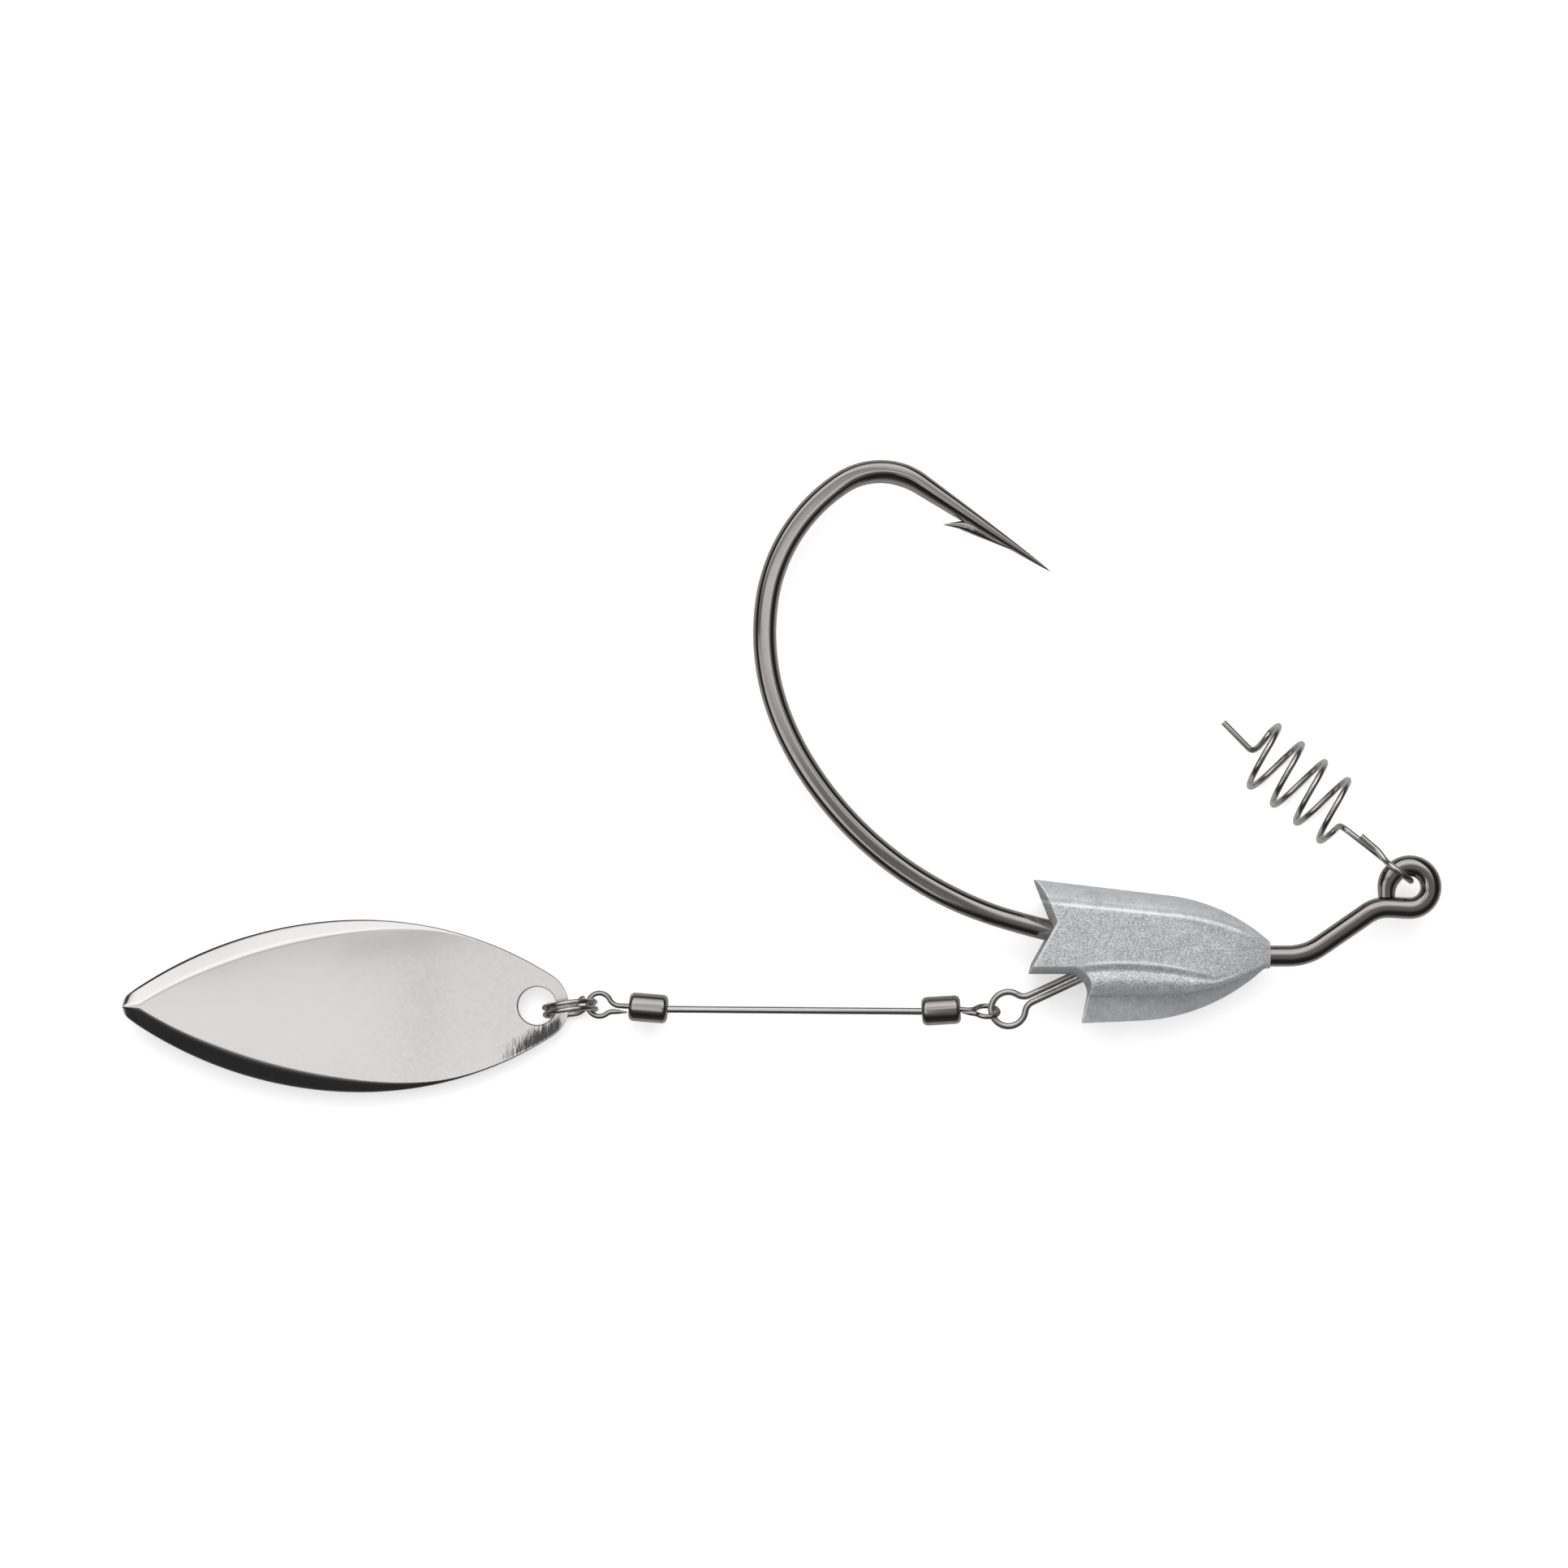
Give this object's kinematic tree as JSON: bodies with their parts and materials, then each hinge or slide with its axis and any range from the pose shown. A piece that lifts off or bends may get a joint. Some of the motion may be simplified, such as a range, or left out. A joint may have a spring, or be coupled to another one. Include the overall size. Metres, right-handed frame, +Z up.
{
  "type": "spoon lure",
  "caption": "Weighted wide-gap lure hook with a corkscrew bait keeper at its eye and a willow-leaf spinner blade trailing from a swivel shaft under the weight.",
  "frame": {"origin": "middle of the hook's line eye, on the hook's own middle plane", "axes": "+X forward towards the line, +Y towards the hook's point side, +Z up out of the plane the lure lies on; the lure lies on one flat panel of its weight at Z = -3.75 mm"},
  "size_m": [0.1057, 0.0507, 0.0075],
  "materials": {
    "black_nickel": "polished",
    "cast_alloy": "matte",
    "bright_wire": "polished",
    "dark_wire": "polished",
    "blade_plate": "polished"
  },
  "bodies": {
    "lure_hook": {"hook": "black_nickel", "keel_weight": "cast_alloy", "hanger_loop": "bright_wire"},
    "front_link": {"front_eye": "dark_wire"},
    "barrel_front": {"front_barrel": "dark_wire"},
    "shaft_wire": {"shaft": "bright_wire"},
    "barrel_rear": {"rear_barrel": "dark_wire"},
    "rear_link": {"rear_eye": "dark_wire"},
    "ring": {"split_ring": "bright_wire"},
    "blade": {"willow_blade": "blade_plate"},
    "keeper": {"screw_keeper": "bright_wire"}
  },
  "joints": [
    {"name": "keeper_swing", "type": "hinge", "parent": "lure_hook", "child": "keeper", "pos_m": [-0.00097, 0.00139, 0], "axis": [0.6157, 0.788, 0], "range_deg": [-65, 65]},
    {"name": "arm_swing", "type": "hinge", "parent": "lure_hook", "child": "front_link", "pos_m": [-0.03352, -0.00998, 0], "axis": [0, 1, 0], "range_deg": [-75, 75]},
    {"name": "front_barrel_spin", "type": "hinge", "parent": "front_link", "child": "barrel_front", "pos_m": [-0.03611, -0.0098, -0.00012], "axis": [-0.9972, -0.0592, -0.0463], "continuous": true},
    {"name": "shaft_spin", "type": "hinge", "parent": "barrel_front", "child": "shaft_wire", "pos_m": [-0.03894, -0.00997, -0.00025], "axis": [-0.9989, 0.007, -0.0463], "continuous": true},
    {"name": "rear_barrel_spin", "type": "hinge", "parent": "shaft_wire", "child": "barrel_rear", "pos_m": [-0.05958, -0.00982, -0.00121], "axis": [-0.9956, 0.0819, -0.0463], "continuous": true},
    {"name": "rear_eye_spin", "type": "hinge", "parent": "barrel_rear", "child": "rear_link", "pos_m": [-0.06241, -0.00959, -0.00134], "axis": [-0.9976, 0.0523, -0.0463], "continuous": true},
    {"name": "ring_swing", "type": "hinge", "parent": "rear_link", "child": "ring", "pos_m": [-0.06585, -0.00941, -0.00146], "axis": [0.0523, 0.9986, 0], "range_deg": [-45, 45]},
    {"name": "blade_swing", "type": "hinge", "parent": "ring", "child": "blade", "pos_m": [-0.06922, -0.00999, -0.00205], "axis": [0, 0, 1], "range_deg": [-20, 20]}
  ]
}
